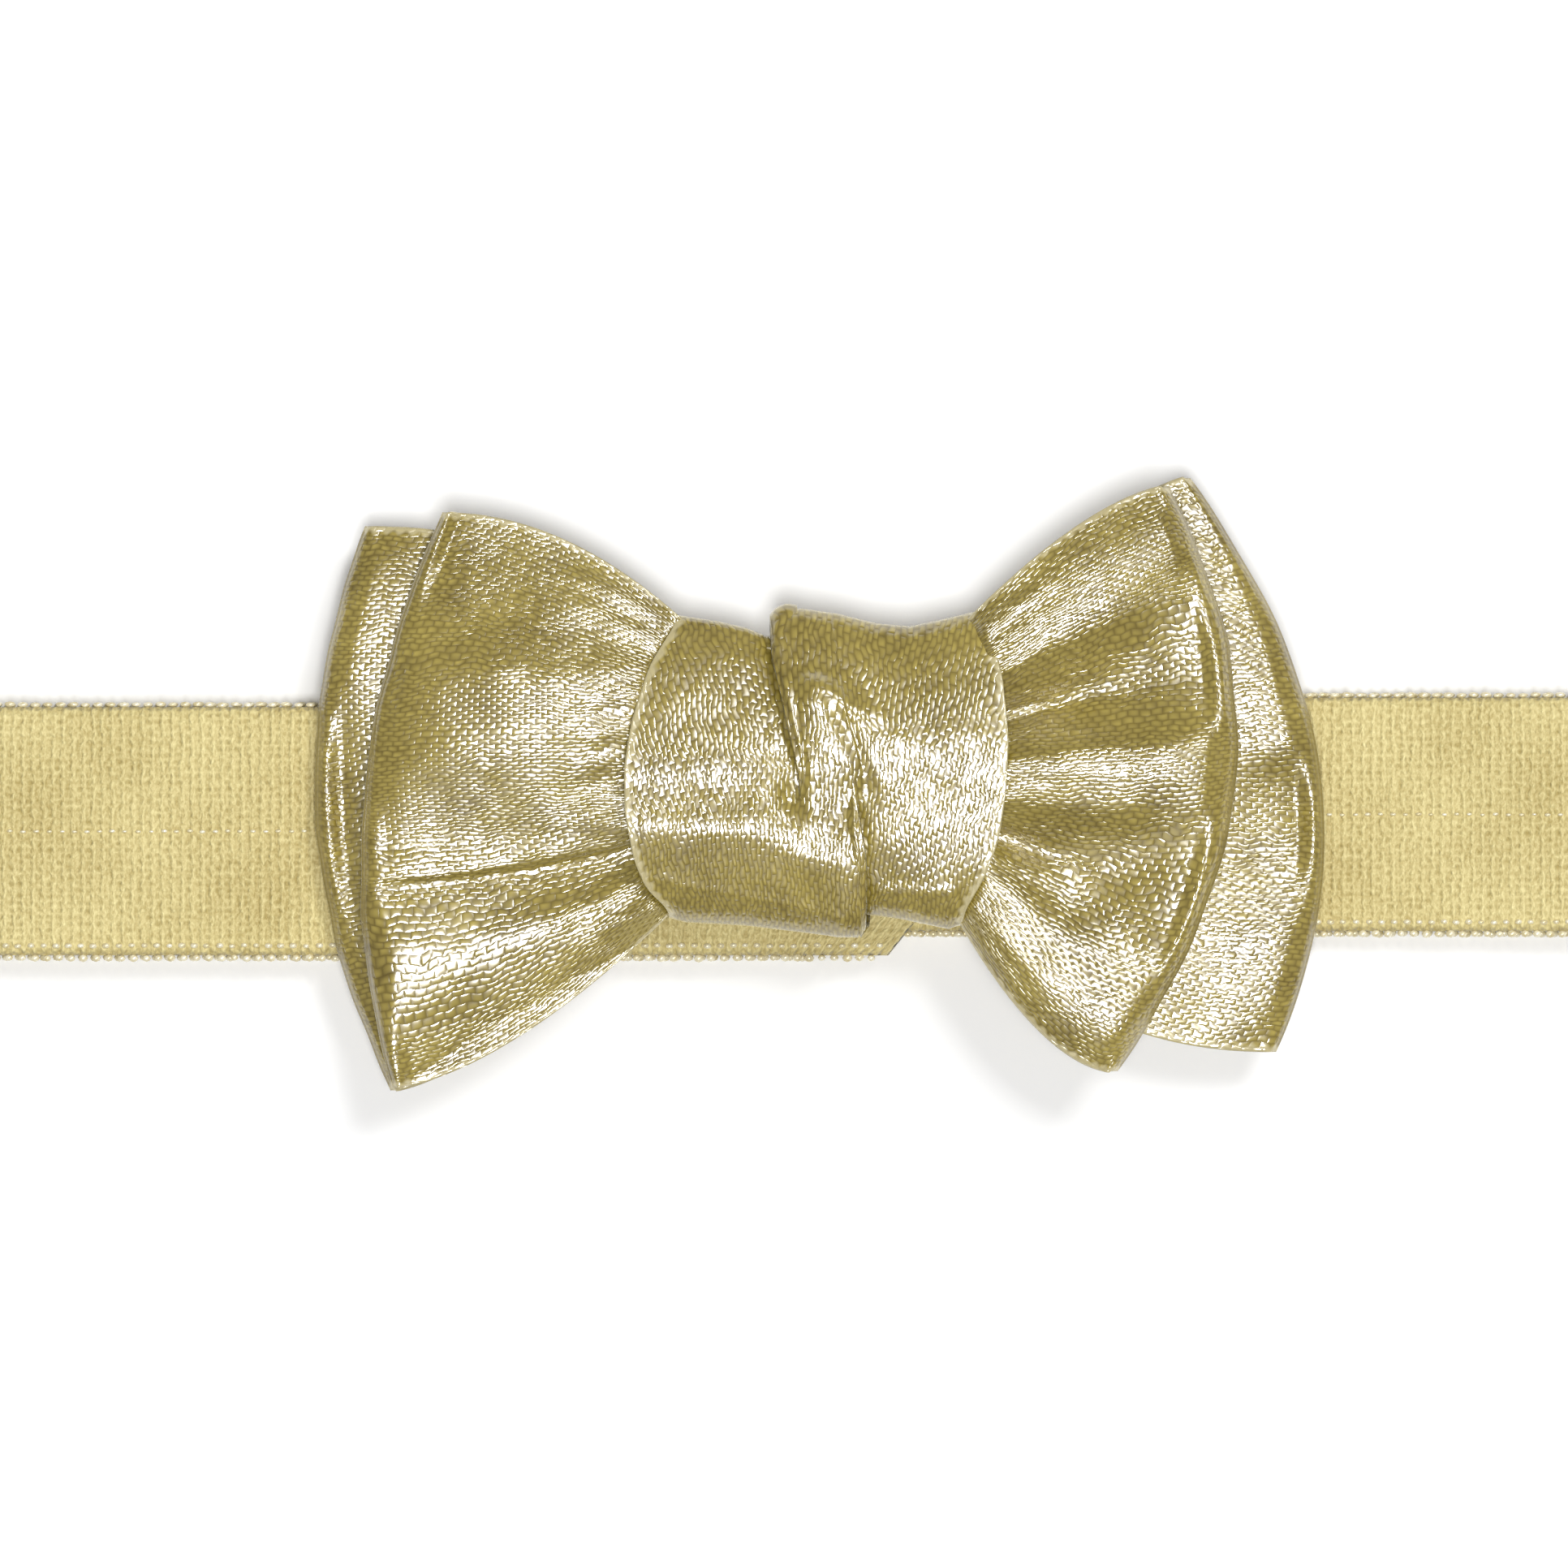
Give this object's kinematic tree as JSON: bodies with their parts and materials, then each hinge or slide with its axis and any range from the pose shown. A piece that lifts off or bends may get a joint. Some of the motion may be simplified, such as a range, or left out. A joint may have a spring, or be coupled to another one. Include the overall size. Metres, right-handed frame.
{
  "type": "pre-made satin gift bow on a stretch loop",
  "caption": "Flattened double satin ribbon bow with a knotted centre wrap, glued to a closed fold-over elastic loop that stretches around a gift.",
  "frame": {"origin": "on the surface it lies on, under the middle of the flat part's box", "axes": "+X along the elastic, to the right as one looks at the bow's face; +Y up the bow's face; +Z away from the surface, through the knot"},
  "size_m": [0.127, 0.0384, 0.0107],
  "materials": {
    "satin_ribbon": "champagne gold satin, lustrous, woven with long floats",
    "elastic_band": "pale yellow knitted fold-over elastic, matt with a soft sheen",
    "sewing_thread": "fine polyester thread",
    "hot_melt_glue": "translucent set hot-melt"
  },
  "bodies": {
    "root": {"band_back_run": "elastic_band", "band_front_left": "elastic_band", "band_front_right": "elastic_band", "band_join_glue": "hot_melt_glue", "bow_glue": "hot_melt_glue", "knot_tail": "satin_ribbon", "knot_glue": "hot_melt_glue", "knot_wrap_left": "satin_ribbon", "knot_wrap_right": "satin_ribbon", "knot_crossover": "satin_ribbon", "waist_thread": "sewing_thread", "back_waist": "satin_ribbon", "front_waist": "satin_ribbon"},
    "band_end_left": {"band_fold_left": "elastic_band"},
    "band_end_right": {"band_fold_right": "elastic_band"},
    "back_left": {"back_loop_left": "satin_ribbon"},
    "back_right": {"back_loop_right": "satin_ribbon"},
    "front_left": {"front_loop_left": "satin_ribbon"},
    "front_right": {"front_loop_right": "satin_ribbon"}
  },
  "joints": [
    {"name": "stretch_left", "type": "slide", "parent": "root", "child": "band_end_left", "axis": [-1, 0, 0], "range_m": [0, 0.038], "stiffness_N_per_m": 120, "deforming": ["band_front_left", "band_back_run"]},
    {"name": "stretch_right", "type": "slide", "parent": "root", "child": "band_end_right", "axis": [1, 0, 0], "range_m": [0, 0.038], "stiffness_N_per_m": 120, "deforming": ["band_front_right", "band_back_run"]},
    {"name": "front_left_fluff", "type": "hinge", "parent": "root", "child": "front_left", "pos_m": [-0.0101, 0.0006, 0.0088], "axis": [0, 1, 0], "range_deg": [0, 25], "stiffness_Nm_per_rad": 0.0008},
    {"name": "front_right_fluff", "type": "hinge", "parent": "root", "child": "front_right", "pos_m": [0.0139, 0.0006, 0.0088], "axis": [0, -1, 0], "range_deg": [0, 25], "stiffness_Nm_per_rad": 0.0008},
    {"name": "back_left_fluff", "type": "hinge", "parent": "root", "child": "back_left", "pos_m": [-0.0101, 0.0006, 0.0065], "axis": [0, 1, 0], "range_deg": [0, 12.5], "stiffness_Nm_per_rad": 0.0008},
    {"name": "back_right_fluff", "type": "hinge", "parent": "root", "child": "back_right", "pos_m": [0.0139, 0.0006, 0.0065], "axis": [0, -1, 0], "range_deg": [0, 12.5], "stiffness_Nm_per_rad": 0.0008}
  ],
  "couplings": [
    {"joint": "stretch_right", "follows": "stretch_left", "ratio": 1},
    {"joint": "back_left_fluff", "follows": "front_left_fluff", "ratio": 0.5},
    {"joint": "back_right_fluff", "follows": "front_right_fluff", "ratio": 0.5}
  ]
}
